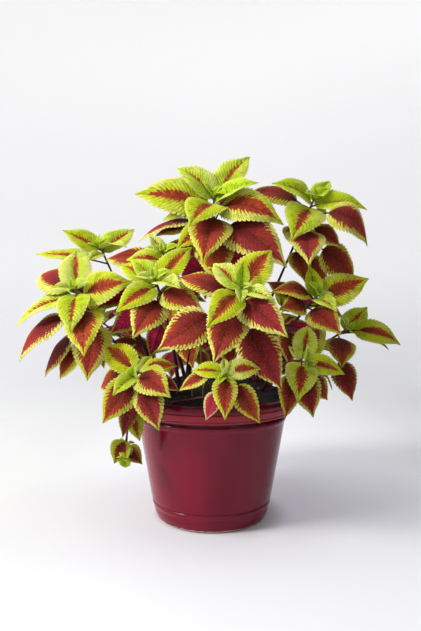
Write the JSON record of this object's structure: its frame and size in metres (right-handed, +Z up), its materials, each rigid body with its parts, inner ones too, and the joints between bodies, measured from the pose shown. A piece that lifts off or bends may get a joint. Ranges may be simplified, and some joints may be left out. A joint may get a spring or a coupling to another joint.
{
  "type": "potted coleus",
  "caption": "bushy bedding plant with toothed two-coloured leaves on branching stems, grown in a round tapered glazed pot with a ridged rim",
  "frame": {"origin": "middle of the pot's flat underside", "axes": "+Z up, -Y towards the front of the plant, +X to its right as seen from the front"},
  "size_m": [0.4495, 0.336, 0.4347],
  "materials": {
    "glaze": "glossy dark red glaze",
    "soil": "dark crumbly potting mix",
    "leaf": "soft lime green leaves with brick red middles"
  },
  "bodies": {
    "root": {"pot": "glaze", "soil": "soil", "shoot_crown": "leaf", "shoot_upper_right": "leaf", "shoot_centre_front": "leaf", "shoot_centre_left": "leaf", "shoot_far_left": "leaf", "shoot_upper_left": "leaf", "shoot_small_bright": "leaf", "shoot_right": "leaf", "shoot_far_right": "leaf", "shoot_lower_right": "leaf", "shoot_lower_left": "leaf", "shoot_lower_front": "leaf", "shoot_hanging": "leaf", "shoot_back_left": "leaf", "shoot_back_middle": "leaf", "shoot_back_right": "leaf", "shoot_back_low_left": "leaf", "shoot_back_low_right": "leaf", "shoot_left_behind": "leaf", "shoot_right_behind": "leaf"}
  },
  "joints": []
}
